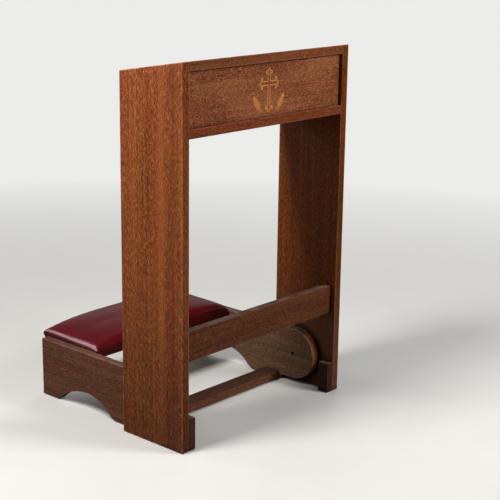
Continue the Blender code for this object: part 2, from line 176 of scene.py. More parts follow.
def noise(vector, scale=1.0, detail=2.0, roughness=0.5):
    inputs = {"Vector": vector, "Scale": scale, "Detail": detail, "Roughness": roughness}
    return add("TexNoise", inputs).outputs[0]


def bumped(height, strength, distance):
    return add("Bump", {"Height": height, "Strength": strength, "Distance": distance}).outputs[0]


def use(group, **inputs):
    """A node group placed in the open tree, with its inputs filled."""
    return add("Group", inputs, node_tree=group).outputs


def material_of(name, **values):
    """A new material, whose tree is opened, and its Principled shader with values set."""
    material = bpy.data.materials.new(name)
    material.use_nodes = True
    open_tree(material.node_tree)
    shader = material.node_tree.nodes["Principled BSDF"]
    for key, value in values.items():
        shader.inputs[key.replace("_", " ")].default_value = value
    return material, shader


def wire(node, **sockets):
    for key, socket in sockets.items():
        link(socket, node.inputs[key.replace("_", " ")])


print("mid grey 128 is", round(paint(128, 128, 128)[0], 3), "in linear light")

# %% [markdown]
# ## Floor and background
# The kneeler stands on a plain pale floor. A floor that is only lit falls off into grey
# in the distance, and a floor that only glows holds no shadow. This one is lit close to
# the kneeler and turns into an even pale glow a few steps away. The glow is shown to the
# camera alone, through the Light Path node, so it adds no light. Glossy surfaces mirror a
# room of their own: a grey skirting, a paler wall above it, and a dark ceiling.

# %% Floor
PALE = paint(236, 236, 234)
FLOOR_TONES = paint(226, 226, 224), paint(231, 231, 229)  # as the camera sees it
FLOOR_BOUNCE = paint(118, 118, 118)  # as it throws light back on the kneeler
FLOOR_REACH = 20.0
CORNERS = ((-1, -1), (1, -1), (1, 1), (-1, 1))
FLOOR_DROP = 0.0006  # keeps it clear of the feet that stand on it
LIT_WITHIN, GLOWS_BEYOND = 0.9, 2.6


def seen_directly():
    """One for rays straight from the camera, or through something clear."""
    path = add("LightPath").outputs
    return calc("MAXIMUM", path["Is Camera Ray"], path["Is Transmission Ray"])


floor_mesh = bpy.data.meshes.new("floor")
floor_mesh.from_pydata([(x * FLOOR_REACH, y * FLOOR_REACH, 0) for x, y in CORNERS], [], [(0, 1, 2, 3)])
floor = put("floor", floor_mesh)
floor.location.z = -FLOOR_DROP

floor_finish, shader = material_of("pale_floor", Roughness=0.9, Specular_IOR_Level=0.0)
ground = add("NewGeometry").outputs["Position"]
mottled = mix(noise(ground, 14.0, 4.0), *FLOOR_TONES)
wire(shader, Base_Color=mix(seen_directly(), FLOOR_BOUNCE, mottled))
away = vectors("LENGTH", ground)["Value"]
far = times(span(away, LIT_WITHIN, GLOWS_BEYOND), seen_directly())
glow = add("Emission", {"Color": PALE, "Strength": 1.0})
both = add("MixShader", {0: far, 1: shader.outputs[0], 2: glow.outputs[0]})
link(both.outputs[0], floor_finish.node_tree.nodes["Material Output"].inputs["Surface"])
floor_mesh.materials.append(floor_finish)
print("floor is lit up to", LIT_WITHIN, "m and glows beyond", GLOWS_BEYOND, "m")

# %% World
AMBIENT, AMBIENT_TINT = 0.12, (1.0, 0.98, 0.95, 1.0)
SKIRTING, WALL, CEILING = paint(116, 116, 115), paint(192, 192, 191), paint(20, 20, 20)
SKIRTING_ENDS, WALL_ENDS = (0.12, 0.27), (0.34, 0.42)  # from here to there, as sines of the height angle

world = bpy.data.worlds.new("studio")
world.use_nodes = True
scene.world = world
open_tree(world.node_tree)
soft_sky = world.node_tree.nodes["Background"]
soft_sky.inputs["Color"].default_value = AMBIENT_TINT
soft_sky.inputs["Strength"].default_value = AMBIENT
height = axis_of(add("TexCoord").outputs["Generated"], "Z")
room = mix(span(height, *SKIRTING_ENDS), SKIRTING, WALL)
room = mix(span(height, *WALL_ENDS), room, CEILING)
shown = mix(seen_directly(), room, PALE)
backdrop = add("Background", {"Color": shown, "Strength": 1.0})
mirrored = calc("MAXIMUM", seen_directly(), add("LightPath").outputs["Is Glossy Ray"])
both = add("MixShader", {0: mirrored, 1: soft_sky.outputs[0], 2: backdrop.outputs[0]})
link(both.outputs[0], world.node_tree.nodes["World Output"].inputs["Surface"])
print("ambient light:", AMBIENT)

# %% [markdown]
# ## Light
# The stand is brightest on its left side, its front is a little darker, and the inside of
# the far panel is deep in shade. A soft lamp on the left gives the first, and one in front
# and to the right gives the second without reaching into the far panel. Two weak lamps
# behind keep the other sides from going black. Area lamps are used because their size
# makes the shadows soft. The last one is a card: it lights nothing, and is only mirrored
# by the rounded end of the pad.

# %% Lamps
WARM, FAINTLY_WARM, WHITE, ROSE = (1.0, 0.97, 0.93), (1.0, 0.98, 0.96), (1.0, 1.0, 1.0), (1.0, 0.80, 0.84)


def soft_lamp(name, watts, size, place, target, tint, lights=True, mirrors=True):
    """An area lamp aimed at a point. It may light surfaces, be mirrored by them, or both."""
    lamp = bpy.data.lights.new(name, "AREA")
    lamp.shape = "RECTANGLE"
    lamp.size, lamp.size_y = size
    lamp.energy, lamp.color = watts, tint
    holder = put(name, lamp)
    holder.location = place
    holder.rotation_euler = (Vector(target) - Vector(place)).to_track_quat("-Z", "Y").to_euler()
    holder.visible_diffuse, holder.visible_glossy = lights, mirrors


soft_lamp("key_left", 38.0, (0.5, 0.9), (-1.15, 0.03, 2.0), (-0.2, -0.10, 0.5), WARM)
soft_lamp("front_fill", 32.0, (0.7, 0.6), (0.85, -1.95, 1.55), (0.0, -0.2, 0.6), FAINTLY_WARM, mirrors=False)
soft_lamp("back_left", 9.0, (1.0, 0.8), (-1.3, 2.4, 2.2), (0.0, 0.1, 0.3), WHITE)
soft_lamp("right_fill", 14.0, (1.2, 1.0), (2.2, 1.3, 1.6), (0.0, 0.05, 0.4), WHITE, mirrors=False)
soft_lamp("back_card", 60.0, (1.9, 1.0), (-1.08, 2.4, 1.76), (-0.22, 0.16, 0.16), ROSE, lights=False)
print("lamps:", [lamp.name for lamp in bpy.data.lights])

# %% [markdown]
# ## The grain of a walnut board
# A sawn board shows three things at three sizes: slow bands of lighter and darker wood,
# fine fibre lines, and the short dark dashes of open pores. All of them run along the
# board. An image could show this, but it would need a picture of wood. Noise that is
# stretched along the board gives the same look from any side, end grain included, since
# it fills space. Short pale and dark flecks, longer than they are wide, stand for the
# shimmer of cut fibres. All of it is a node group, because every board uses it.

# %% Node group for grain
DRIFT, WOBBLE = (1.9, 10.0, 10.0), (85.0, 40.0, 40.0)  # patches of noise a metre, along and across
WOBBLE_REACH = 0.0035  # how far a fibre strays from side to side, besides its slow drift


def shader_group(name, takes, gives):
    """A shader node group, whose tree is opened, and its inner ends. All but Vector are numbers."""
    group = bpy.data.node_groups.new(name, "ShaderNodeTree")
    for in_out, labels in (("INPUT", takes), ("OUTPUT", gives)):
        for label in labels:
            kind = "NodeSocketVector" if label == "Vector" else "NodeSocketFloat"
            group.interface.new_socket(label, in_out=in_out, socket_type=kind)
    entry, leave = group.nodes.new("NodeGroupInput"), group.nodes.new("NodeGroupOutput")
    leave.location = (2500, 0)
    open_tree(group)
    return group, entry.outputs, leave


board_grain, entry, leave = shader_group(
    "board grain", ["Vector", "Waver", "Flecks", "Fineness"], ["Band", "Line", "Hue", "Fleck", "Pore"]
)
drift = noise(stretched(entry["Vector"], DRIFT))
sideways = times(calc("SUBTRACT", drift, 0.5), entry["Waver"])
wobble = noise(stretched(entry["Vector"], WOBBLE), detail=1.0)
sideways = calc("MULTIPLY_ADD", calc("SUBTRACT", wobble, 0.5), WOBBLE_REACH, sideways)
bent = add("CombineXYZ", {1: sideways, 2: sideways}).outputs[0]
along = vectors("ADD", entry["Vector"], bent)[0]
dashes = add("CombineXYZ", {0: entry["Flecks"], 1: entry["Fineness"], 2: entry["Fineness"]}).outputs[0]
for label, patches, detail, roughness, low, high in (
    ("Band", (0.9, 24.0, 24.0), 3.0, 0.55, 0.30, 0.70),
    ("Line", (2.4, 150.0, 150.0), 4.0, 0.62, 0.30, 0.70),
    ("Hue", (1.4, 48.0, 48.0), 3.0, 0.6, 0.34, 0.66),
    ("Fleck", dashes, 2.0, 0.6, 0.30, 0.70),
    ("Pore", (120.0, 1150.0, 1150.0), 1.0, 0.5, 0.60, 0.72),
):
    texture = noise(stretched(along, patches), 1.0, detail, roughness)
    wire(leave, **{label: span(texture, low, high)})
print("grain group has", len(board_grain.nodes), "nodes")

# %% [markdown]
# ## Worn and lit edges, dust and sheen, grime and shade
# Hands and cleaning wear the stain off a board's arrises, so they are paler than its
# faces, and that pale colour is also a painted highlight along them. Sculpted wear would
# need a dense mesh. The Bevel node gives the normal that the surface would have if its
# edges were rounder, and where that differs from the true normal there is an edge. Fine
# dust stays on what faces up, and on some boards it is also a painted sheen on their
# tops. Noise breaks both up, so that no edge is evenly worn. Where two boards meet, polish
# and dirt gather and shade falls: the Ambient Occlusion node finds those corners, and they
# are painted darker, as grime and as shade. This painted shade leaves out the height at
# which the arms swing, because a frame that moves away must not leave its shadow behind.

# %% Node groups for wear and painted highlight, dust and painted sheen, and painted corner shade
ABOVE_ARMS, BEFORE_ARMS = (0.16, 0.20), (-0.185, -0.205)  # heights and depths where the painted corner shade and grime begin and are full

edge_wear_and_highlight, entry, leave = shader_group("edge wear and highlight", ["Width", "Vector"], ["Edge"])
# This edge mask serves both for worn arrises and for a painted highlight along them.
rounder = add("Bevel", {"Radius": entry["Width"]}, samples=6).outputs["Normal"]
surface = add("NewGeometry").outputs["Normal"]
alike = vectors("DOT_PRODUCT", rounder, surface)["Value"]
rubbed = noise(entry["Vector"], 38.0, 4.0, 0.6)
wire(leave, Edge=times(span(alike, 0.998, 0.90), span(rubbed, 0.32, 0.60)))

dust_sheen_group, entry, leave = shader_group("dust and sheen", ["Vector"], ["Dust"])
patchy = noise(entry["Vector"], 21.0, 6.0, 0.65)
# Up-facing surfaces get dust, which on some boards also stands for a painted sheen.
wire(leave, Dust=times(span(facing("Z"), 0.55, 1.0), span(patchy, 0.35, 0.75)))

corner_shade_and_grime, entry, leave = shader_group("corner shade and grime", ["Reach"], ["Grime"])
# Corners that the AO node finds get one mask, for grime and for painted shade.
open_air = add("AmbientOcclusion", {"Distance": entry["Reach"]}, samples=8).outputs["AO"]
clear_of_arms = calc("MAXIMUM", span(at("Z"), *ABOVE_ARMS), span(at("Y"), *BEFORE_ARMS))
not_on_top = span(facing("Z"), 0.7, 0.2)
wire(leave, Grime=times(span(open_air, 0.80, 0.30), times(clear_of_arms, not_on_top)))
print("groups so far:", [group.name for group in bpy.data.node_groups])

# %% [markdown]
# ## Walnut boards
# The stand is stained a warm red brown and lacquered to a satin sheen. The side panels
# are the most orange, the kneeling frame is greyer. One material for all would repeat
# its figure on every board. Here each board gets its own, so that its grain runs along
# it and starts somewhere else in the log. A small class holds a board's tones while its
# colour is built up: the stain and grain first, then its marks, some of them painted
# light and shade, then wear, painted highlight, sheen and shade, and gloss.

# %% A board's stain and grain
LOG_ORDER = {"X": "XYZ", "Y": "YXZ", "Z": "ZXY"}  # the grain's own direction comes first


def board_vector(runs, start):
    """Places on a board, counted from its start in the log, with the grain's direction first."""
    axes = add("SeparateXYZ", {0: vectors("ADD", here(), start)[0]}).outputs
    return add("CombineXYZ", {i: axes[axis] for i, axis in enumerate(LOG_ORDER[runs])}).outputs[0]


def shade(colour, *factors):
    """A screen colour made lighter or darker, by one factor or one for each channel."""
    factors = factors if len(factors) == 3 else factors * 3
    return paint(*(min(255.0, c * k) for c, k in zip(colour, factors)))


class Board:
    """A walnut board's material in the making: its grain, its tones and its colour so far."""

    def __init__(self, name, runs, start, dark, light,
                 waver=0.03, flecks=170.0, fineness=640.0, speckle=0.65):
        gloss = {"Specular_IOR_Level": 0.16, "Coat_Roughness": 0.25, "Coat_IOR": 1.3}
        self.material, self.shader = material_of("walnut_" + name, **gloss)
        self.dark, self.light, self.speckle = dark, light, speckle
        self.middle = [(a + b) / 2 for a, b in zip(dark, light)]
        self.vector = board_vector(runs, start)
        self.grain = use(board_grain, Vector=self.vector, Waver=waver, Flecks=flecks, Fineness=fineness)
        self.colour = mix(self.grain["Band"], paint(*dark), paint(*light))

    def toward(self, share, colour):
        """Turns the colour so far into another, by a share that is a number or a mask."""
        self.colour = mix(share, self.colour, colour)


def stain(board):
    """A wandering hue, then fibre lines, flecks and pores, paler or darker than the board."""
    grain, dark, light = board.grain, board.dark, board.light
    red, yellow = shade(board.middle, 1.10, 0.84, 0.92), shade(board.middle, 1.06, 1.16, 0.98)
    board.toward(0.55, mix(grain["Hue"], red, yellow))
    board.toward(span(grain["Line"], 0.48, 0.0, 0.0, 0.62), shade(dark, 0.66))
    board.toward(span(grain["Line"], 0.58, 1.0, 0.0, 0.45), shade(light, 1.16))
    board.toward(span(grain["Fleck"], 0.55, 1.0, 0.0, board.speckle), shade(light, 1.36, 1.42, 1.38))
    board.toward(span(grain["Fleck"], 0.45, 0.0, 0.0, board.speckle), shade(dark, 0.58))
    board.toward(times(grain["Pore"], 0.40), shade(dark, 0.45))


print("grain directions:", sorted(LOG_ORDER))

# %% [markdown]
# ## Marks that only some boards have
# A used kneeler isn't one even brown, and some of its marks are painted light and shade.
# The front edges of its panels are painted darker as shade, most near the floor, and the
# veneer has streaks. The lowest part is darker, painted as soil and as shade, and the tops
# are scuffed. An arm's round end has a painted highlight where it faces forward, and a
# panel's inner face has a painted shadow in a ring round that end. Each mark could be
# painted on the mesh, but a rule on the place and the facing of a surface is easier to
# change. So each mark is a short function.

# %% Marks
pivot_low, pivot_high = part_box("left_pivot_bolt")
PIVOT = Vector((0.0, (pivot_low.y + pivot_high.y) / 2, (pivot_low.z + pivot_high.z) / 2))
ARM_END = PIVOT.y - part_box("left_arm")[0].y  # radius of an arm's rounded end
RING_SOLID, RING_WIDTH = 0.006, 0.017  # painted shadow round that end, on the panel
LIT_FROM, LIT_FULL = 0.025, 0.040  # how far in front of the pivot the painted highlight on the end begins and is full
FIGURE = (5.0, 9.0, 11.0)  # patches a metre
STREAK_BENDS, STREAK_STRAYS = (4.0, 0.0, 0.0), 0.03
FRONT_SHADE_HEIGHTS = 0.50, 0.10  # of a front edge painted darker as shade


def off_pivot():
    """Distance from the line through both pivots."""
    return vectors("DISTANCE", stretched(here(), (0.0, 1.0, 1.0)), PIVOT)["Value"]


def figure(board, share):
    slow = noise(stretched(board.vector, FIGURE), detail=1.0)
    board.toward(span(slow, 0.45, 0.68, 0.0, share), shade(board.light, 1.20, 1.22, 1.18))
    board.toward(span(slow, 0.45, 0.30, 0.0, share), shade(board.dark, 0.76))


def streak(board, centre, half_width, share, tone):
    """A streak of other veneer, which strays a little on its way up the panel."""
    bends = noise(stretched(board.vector, STREAK_BENDS), detail=2.0)
    depth = calc("MULTIPLY_ADD", calc("SUBTRACT", bends, 0.5), STREAK_STRAYS, at("Y"))
    off = calc("ABSOLUTE", calc("SUBTRACT", depth, centre))
    board.toward(span(off, half_width, 0.3 * half_width, 0.0, share), shade(board.middle, *tone))


def scuffed_top(board, share):
    board.toward(span(facing("Z"), 0.6, 0.95, 0.0, share), paint(24, 17, 14))


def shaded_front(board, high, low):
    """The front edge is painted darker as shade, by one share high up and by another near the floor."""
    front = span(facing("Y"), -0.75, -0.95)
    share = span(at("Z"), *FRONT_SHADE_HEIGHTS, high, low)
    board.toward(times(front, share), shade(board.dark, 0.68, 0.56, 0.62))


def lit_end(board, share):
    """A painted highlight makes the rounded end of an arm pale and orange, where it faces forward."""
    front = span(facing("Y"), -0.25, -0.55)
    end = span(at("Y"), PIVOT.y - LIT_FROM, PIVOT.y - LIT_FULL, 0.0, share)
    board.toward(times(front, end), shade(board.light, 1.24, 0.96, 0.60))


def soil_and_shade(board, begins, full, on_dark, on_pale, tone):
    """Soil and painted shade, which grow from one height down to another and cling to dark or pale flecks.
    """
    low = span(at("Z"), begins, full)
    caught = span(board.grain["Fleck"], 0.25, 0.75, on_dark, on_pale)
    board.toward(times(low, caught), shade(board.dark, *tone))


def painted_shadow_ring(board):
    """A painted shadow in a ring on a panel's inner face. The arm's end turns inside it, whatever its angle.
    """
    ring = span(off_pivot(), ARM_END + RING_WIDTH, ARM_END + RING_SOLID, 0.0, 0.8)
    inner = span(times(at("X"), facing("X")), 0.0, -0.1)
    board.toward(times(ring, inner), shade(board.dark, 0.25))


print("an arm's end has a radius of", round(1000 * ARM_END, 1), "mm")

# %% [markdown]
# ## Wear, painted light and shade, gloss and the list of boards
# What all boards share comes last: pale arrises, which are wear and a painted highlight,
# corners painted darker as grime and shade, dust that is also a painted sheen on some
# tops, and a satin lacquer that is thin over open pores. The head of a pivot bolt isn't
# rubbed by hands, so the bore around it is left out of the pale edges. A list then says
# what each board is made of, and shorter lists say where a board differs from the rest.

# %% Every board's material
ARRIS, CORNER_REACH = 0.0042, 0.022  # how wide worn and highlighted edges are, and how far painted shade and grime reach from a corner
BOLT_CLEAR = 0.010, 0.014  # from the pivot's axis: up to here no pale edge, and from there all of it
FIBRE_RELIEF = 0.0003


def wear_light_and_gloss(board, wear_and_highlight=0.85, sheen_and_dust_share=0.16, shaded_and_grimy=True, spared=False):
    grain = board.grain
    edge = use(edge_wear_and_highlight, Width=ARRIS, Vector=board.vector)["Edge"]
    if spared:
        edge = times(edge, span(off_pivot(), *BOLT_CLEAR))
    # Pale arrises: worn stain, and a painted highlight along the edges.
    board.toward(times(edge, wear_and_highlight), shade(board.light, 1.40, 1.70, 2.40))
    # Corners are painted darker, as grime and as the shade that falls there.
    if shaded_and_grimy:
        shade_and_grime = use(corner_shade_and_grime, Reach=CORNER_REACH)["Grime"]
        board.toward(times(shade_and_grime, 0.88), shade(board.dark, 0.22))
    sheen_and_dust = use(dust_sheen_group, Vector=board.vector)["Dust"]
    # Pale on what faces up: dust, and on the rail and foot blocks a painted sheen.
    board.toward(times(sheen_and_dust, sheen_and_dust_share), paint(168, 150, 136))
    rough = calc("ADD", span(grain["Fleck"], 0.0, 1.0, 0.50, 0.40), times(sheen_and_dust, 0.12))
    relief = calc("SUBTRACT", times(grain["Fleck"], 0.5), grain["Pore"])
    bump = bumped(relief, 0.3, FIBRE_RELIEF)
    lacquer = span(grain["Pore"], 0.0, 1.0, 0.08, 0.01)
    wire(board.shader, Base_Color=board.colour, Roughness=rough, Normal=bump, Coat_Weight=lacquer)


def finish_with(material, *names):
    for name in names:
        for slot in nodes[name].material_slots:
            slot.material = material


BOARDS = {  # the way of the grain, the start in the log, and the dark and light tone
    "left_side_panel": ("Z", (0.13, 0.40, 0.20), (104, 50, 24), (158, 90, 48)),
    "right_side_panel": ("Z", (1.31, 0.87, 0.55), (101, 50, 17), (148, 83, 35)),
    "desk_top": ("X", (0.70, 2.10, 0.30), (98, 54, 32), (142, 84, 52)),
    "front_panel": ("X", (2.40, 0.35, 1.22), (107, 61, 38), (153, 95, 64)),
    "book_shelf": ("X", (3.10, 1.05, 2.35), (100, 48, 28), (140, 74, 46)),
    "mid_rail": ("X", (4.20, 1.60, 0.75), (75, 40, 24), (109, 64, 39)),
    "left_foot_block": ("Z", (0.50, 3.20, 1.40), (55, 33, 22), (82, 51, 35)),
    "right_foot_block": ("Z", (0.95, 3.90, 1.75), (55, 33, 22), (82, 51, 35)),
    "left_arm": ("Y", (5.20, 0.15, 2.90), (84, 52, 37), (122, 80, 56)),
    # The right arm's tones are paler than the left arm's: painted light that lifts its face out of the
    # stand's shade.
    "right_arm": ("Y", (6.10, 0.70, 3.30), (92, 70, 53), (132, 102, 80)),
    "stretcher": ("X", (7.30, 2.60, 0.10), (94, 56, 40), (136, 88, 66)),
}
GRAIN = {
    "left_side_panel": {"flecks": 115.0, "speckle": 0.85},
    "right_side_panel": {"flecks": 115.0, "speckle": 0.85},
    "front_panel": {"flecks": 200.0, "fineness": 540.0, "waver": 0.02, "speckle": 1.0},
    "mid_rail": {"speckle": 0.85},
}
ARM_MARKS = [(scuffed_top, 0.45), (lit_end, 0.75)]
MARKS = {
    "left_side_panel": [
        (streak, -0.197, 0.016, 0.34, (1.32, 1.40, 1.40)),
        (streak, -0.231, 0.018, 0.30, (0.74, 0.66, 0.62)),
        (shaded_front, 0.24, 0.42),
        (soil_and_shade, 0.36, 0.04, 0.58, 0.34, (0.43, 0.55, 0.72)),
        (painted_shadow_ring,),
    ],
    "right_side_panel": [
        (shaded_front, 0.5, 0.6),
        (soil_and_shade, 0.29, 0.15, 0.3, 1.0, (1.1, 1.55, 3.4)),
        (painted_shadow_ring,),
    ],
    "front_panel": [(figure, 0.3)],
    "left_arm": ARM_MARKS,
    "right_arm": ARM_MARKS,
    "stretcher": [(scuffed_top, 0.74)],
}
ARM_WEAR_AND_LIGHT = {"sheen_and_dust_share": 0.1, "shaded_and_grimy": False, "spared": True}
WEAR_AND_LIGHT = {
    "left_side_panel": {"wear_and_highlight": 1.0},
    "mid_rail": {"sheen_and_dust_share": 0.5},
    "left_foot_block": {"sheen_and_dust_share": 0.6},
    "right_foot_block": {"sheen_and_dust_share": 0.6},
    "left_arm": ARM_WEAR_AND_LIGHT,
    "right_arm": ARM_WEAR_AND_LIGHT,
    "stretcher": {"wear_and_highlight": 0.05, "sheen_and_dust_share": 0.05, "shaded_and_grimy": False},
}
for name, made_of in BOARDS.items():
    board = Board(name, *made_of, **GRAIN.get(name, {}))
    stain(board)
    for mark, *values in MARKS.get(name, []):
        mark(board, *values)
    wear_light_and_gloss(board, **WEAR_AND_LIGHT.get(name, {}))
    finish_with(board.material, name)
print("walnut boards:", len(BOARDS))

# %% [markdown]
# ## Bare beech, plywood and metal
# Dowels and cleats are bare beech, and the pad's board is plywood: thin veneers glued
# crosswise, which show as stripes on its edges. The pivot bolt is blackened, the screws
# are zinc plated, and so are the spacer washers. The insert is turned brass, and the bush
# is moulded nylon. Most of it shows only when the frame is folded up or taken apart. The
# stripes could be modelled, but a rule on the height is enough.

# %% Beech and plywood
PLY = 0.0024


def bare_wood(name, runs, start, dark, light, ply=0.0):
    material, shader = material_of(name, Specular_IOR_Level=0.25)
    vector = board_vector(runs, start)
    grain = use(board_grain, Vector=vector, Waver=0.02, Flecks=105.0, Fineness=640.0)
    colour = mix(grain["Band"], paint(*dark), paint(*light))
    colour = mix(times(grain["Pore"], 0.35), colour, shade(dark, 0.6))
    if ply:
        stripe = span(calc("PINGPONG", calc("DIVIDE", at("Z"), ply), 1.0), 0.4, 0.6)
        sides = span(calc("ABSOLUTE", facing("Z")), 0.6, 0.3)
        colour = mix(times(times(stripe, sides), 0.6), colour, paint(118, 84, 56))
    bump = bumped(grain["Fleck"], 0.4, FIBRE_RELIEF)
    rough = span(grain["Fleck"], 0.0, 1.0, 0.74, 0.60)
    wire(shader, Base_Color=colour, Roughness=rough, Normal=bump)
    return material


beech = bare_wood("bare_beech", "X", (0.3, 0.6, 0.9), (176, 134, 94), (214, 176, 132))
plywood = bare_wood("bare_plywood", "X", (1.7, 0.2, 0.4), (178, 140, 100), (216, 182, 140), PLY)
finish_with(beech, *(name for name in nodes if "dowel" in name or name.endswith("_cleat")))
finish_with(plywood, "pad_board")
print("bare wood:", beech.name, plywood.name)

# %% Metal and nylon
SMALL_ARRIS, TOOL_MARKS = 0.0008, 0.0001


def hard_finish(name, dark, light, metallic, rough, scale):
    material, shader = material_of(name, Metallic=metallic)
    place = here()
    cloud = noise(place, scale, 5.0, 0.6)
    fine = noise(place, scale * 9.0, 2.0)
    edge = use(edge_wear_and_highlight, Width=SMALL_ARRIS, Vector=place)["Edge"]
    bright = paint(*(min(255, c * 1.25 + 12) for c in light))
    colour = mix(span(cloud, 0.35, 0.65), paint(*dark), paint(*light))
    colour = mix(times(edge, 0.4), colour, bright)
    bump = bumped(fine, 0.4, TOOL_MARKS)
    wire(shader, Base_Color=colour, Normal=bump)
    wire(shader, Roughness=span(cloud, 0.3, 0.7, rough - 0.08, rough + 0.10))
    return material


zinc = hard_finish("zinc_plate", (150, 150, 146), (196, 196, 190), 1.0, 0.36, 210.0)
black = hard_finish("blackened_steel", (18, 16, 15), (30, 27, 25), 0.5, 0.50, 180.0)
brass = hard_finish("turned_brass", (150, 118, 58), (196, 160, 88), 1.0, 0.34, 160.0)
nylon = hard_finish("moulded_nylon", (206, 204, 194), (226, 224, 214), 0.0, 0.48, 120.0)
small_parts = {"screw": zinc, "washer": zinc, "bolt": black, "insert": brass, "bush": nylon}
for word, material in small_parts.items():
    finish_with(material, *(name for name in nodes if word in name))
used = {slot.material.name for node in nodes.values() for slot in node.material_slots}
print("finishes on CAD nodes:", len(used))

# %% [markdown]
# ## Soft arrises on flat boards
# The CAD boards have small rounded edges made of a few flat strips. Shaded flat, each strip
# shows as its own line, and shaded smooth, the large faces look dented. A small geometry
# nodes modifier smooths only the shallow angles, and Weighted Normal lets the large faces
# keep their own direction. Both leave the CAD mesh itself as it is.

# %% Shading of the CAD boards
SMOOTH_BELOW = math.radians(50)
SAME_POINT = 0.00001

soften = bpy.data.node_groups.new("soft arris", "GeometryNodeTree")
for in_out in ("INPUT", "OUTPUT"):
    soften.interface.new_socket("Geometry", in_out=in_out, socket_type="NodeSocketGeometry")
new = soften.nodes.new
start, end = new("NodeGroupInput"), new("NodeGroupOutput")
weld = new("GeometryNodeMergeByDistance")
weld.inputs["Distance"].default_value = SAME_POINT
round_faces, round_edges = (new("GeometryNodeSetShadeSmooth") for i in range(2))
round_faces.domain, round_edges.domain = "FACE", "EDGE"
bend, shallow = new("GeometryNodeInputMeshEdgeAngle"), new("FunctionNodeCompare")
shallow.operation = "LESS_THAN"
shallow.inputs["B"].default_value = SMOOTH_BELOW
for source, target in (
    (start.outputs[0], weld.inputs["Geometry"]),
    (weld.outputs[0], round_faces.inputs["Geometry"]),
    (round_faces.outputs[0], round_edges.inputs["Geometry"]),
    (bend.outputs["Unsigned Angle"], shallow.inputs["A"]),
    (shallow.outputs[0], round_edges.inputs["Shade Smooth"]),
    (round_edges.outputs[0], end.inputs[0]),
):
    soften.links.new(source, target)
for node in nodes.values():
    node.modifiers.new("soft arris", "NODES").node_group = soften
    node.modifiers.new("flat faces stay flat", "WEIGHTED_NORMAL").keep_sharp = True
print("softened", len(nodes), "nodes")

# %% [markdown]
# ## The gilt ornament
# A cross with lily ends and two ears of wheat are cut into the front panel as fine lines and
# filled with gold. They could be a mask in the panel's material, but then there would be no
# edge to catch the light. Here each line is a curve with a round profile, turned into a
# mesh and pressed flat, so it lies in the wood and stands a hair above it. The outline is
# written for one half, in millimetres from the crossing, and mirrored.

# %% Lines of the cross
def flowing(points, steps=5):
    """A smooth line through the points, which starts on the first and ends on the last."""
    ends = [2 * Vector(points[0]) - Vector(points[1])] + [Vector(p) for p in points]
    ends.append(2 * ends[-1] - ends[-2])
    line = [ends[1]]
    for a, b, c, d in zip(ends, ends[1:], ends[2:], ends[3:]):
        square, cube = 2 * a - 5 * b + 4 * c - d, 3 * b - a - 3 * c + d
        for i in range(1, steps + 1):
            t = i / steps
            line.append(0.5 * (2 * b + (c - a) * t + square * t**2 + cube * t**3))
    return line


TOP_LEAF = [(0, 32.8), (2.0, 30.7), (3.0, 28.4), (3.3, 26.4)]
TOP_CURL_OUT = [(3.3, 26.4), (5.7, 27.7), (8.3, 27.1), (10.1, 24.7), (10.2, 22.2), (9.2, 20.4)]
TOP_CURL_IN = [(9.2, 20.4), (8.2, 22.2), (6.7, 22.9), (4.8, 22.2), (3.4, 20.4)]
SHAFT_UP = [(3.4, 20.4), (3.4, 4.1)]
ARM = [(3.4, 4.1), (18.7, 4.1)]
ARM_CURL_IN = [(18.7, 4.1), (21.1, 5.1), (22.4, 7.2), (22.1, 9.4), (20.5, 11.2)]
ARM_CURL_OUT = [(20.5, 11.2), (22.6, 12.6), (25.1, 11.6), (26.1, 8.6), (25.3, 4.5)]
ARM_TIP = [(25.3, 4.5), (27.8, 3.3), (29.7, 1.7), (30.9, 0)]
SHAFT_DOWN = [(3.4, -4.1), (3.4, -49.0)]
FOOT_CURL_IN = [(3.4, -49.0), (5.2, -51.8), (7.4, -52.8), (9.1, -51.6), (9.7, -49.5)]
FOOT_CURL_OUT = [(9.7, -49.5), (11.4, -51.6), (11.0, -54.6), (8.8, -56.5), (6.3, -56.8), (4.4, -55.8)]
FOOT_LEAF = [(4.4, -55.8), (3.7, -58.4), (2.1, -61.0), (0, -63.2)]

head = [TOP_LEAF, TOP_CURL_OUT, TOP_CURL_IN, SHAFT_UP]
upper_arm = [ARM, ARM_CURL_IN, ARM_CURL_OUT, ARM_TIP]
lower_arm = [[(x, -z) for x, z in reversed(run)] for run in reversed(upper_arm)]
foot = [SHAFT_DOWN, FOOT_CURL_IN, FOOT_CURL_OUT, FOOT_LEAF]
half = []
for run in head + upper_arm + lower_arm + foot:
    half += flowing(run)[1:] if half else flowing(run)
cross = half + [Vector((-p.x, p.y)) for p in reversed(half[1:-1])]
print("points in the cross:", len(cross))

# %% Ears of wheat
EAR_BASE, EAR_TIP = Vector((25.5, -61.5)), Vector((52.0, -24.6))
KERNEL_ROWS, ROW_STEP = 8, 3.9
FIRST_RIGHT, FIRST_LEFT = 9.0, 11.0  # where the lowest kernels leave the stem
KERNEL_LENGTH, KERNEL_BULGE = 10.8, 0.17
ear_axis = (EAR_TIP - EAR_BASE).normalized()
ear_side = Vector((ear_axis.y, -ear_axis.x))
ear_length = (EAR_TIP - EAR_BASE).length


def in_ear(up, out):
    return EAR_BASE + ear_axis * up + ear_side * out


def kernel(foot, side, size, lean):
    """An almond outline that leaves the stem at foot and leans to one side."""
    way = ear_axis * math.cos(lean) + ear_side * side * math.sin(lean)
    across = Vector((way.y, -way.x))
    start = in_ear(foot, side * 0.5)
    tip = start + way * size
    bow, back = [], []
    for share in (0.25, 0.5, 0.75):
        bulge = across * size * KERNEL_BULGE * math.sin(math.pi * share)
        bow.append(start + way * size * share + bulge)
        back.insert(0, start + way * size * share - bulge)
    return flowing([start, *bow, tip], 2) + flowing([tip, *back, start], 2)[1:-1]


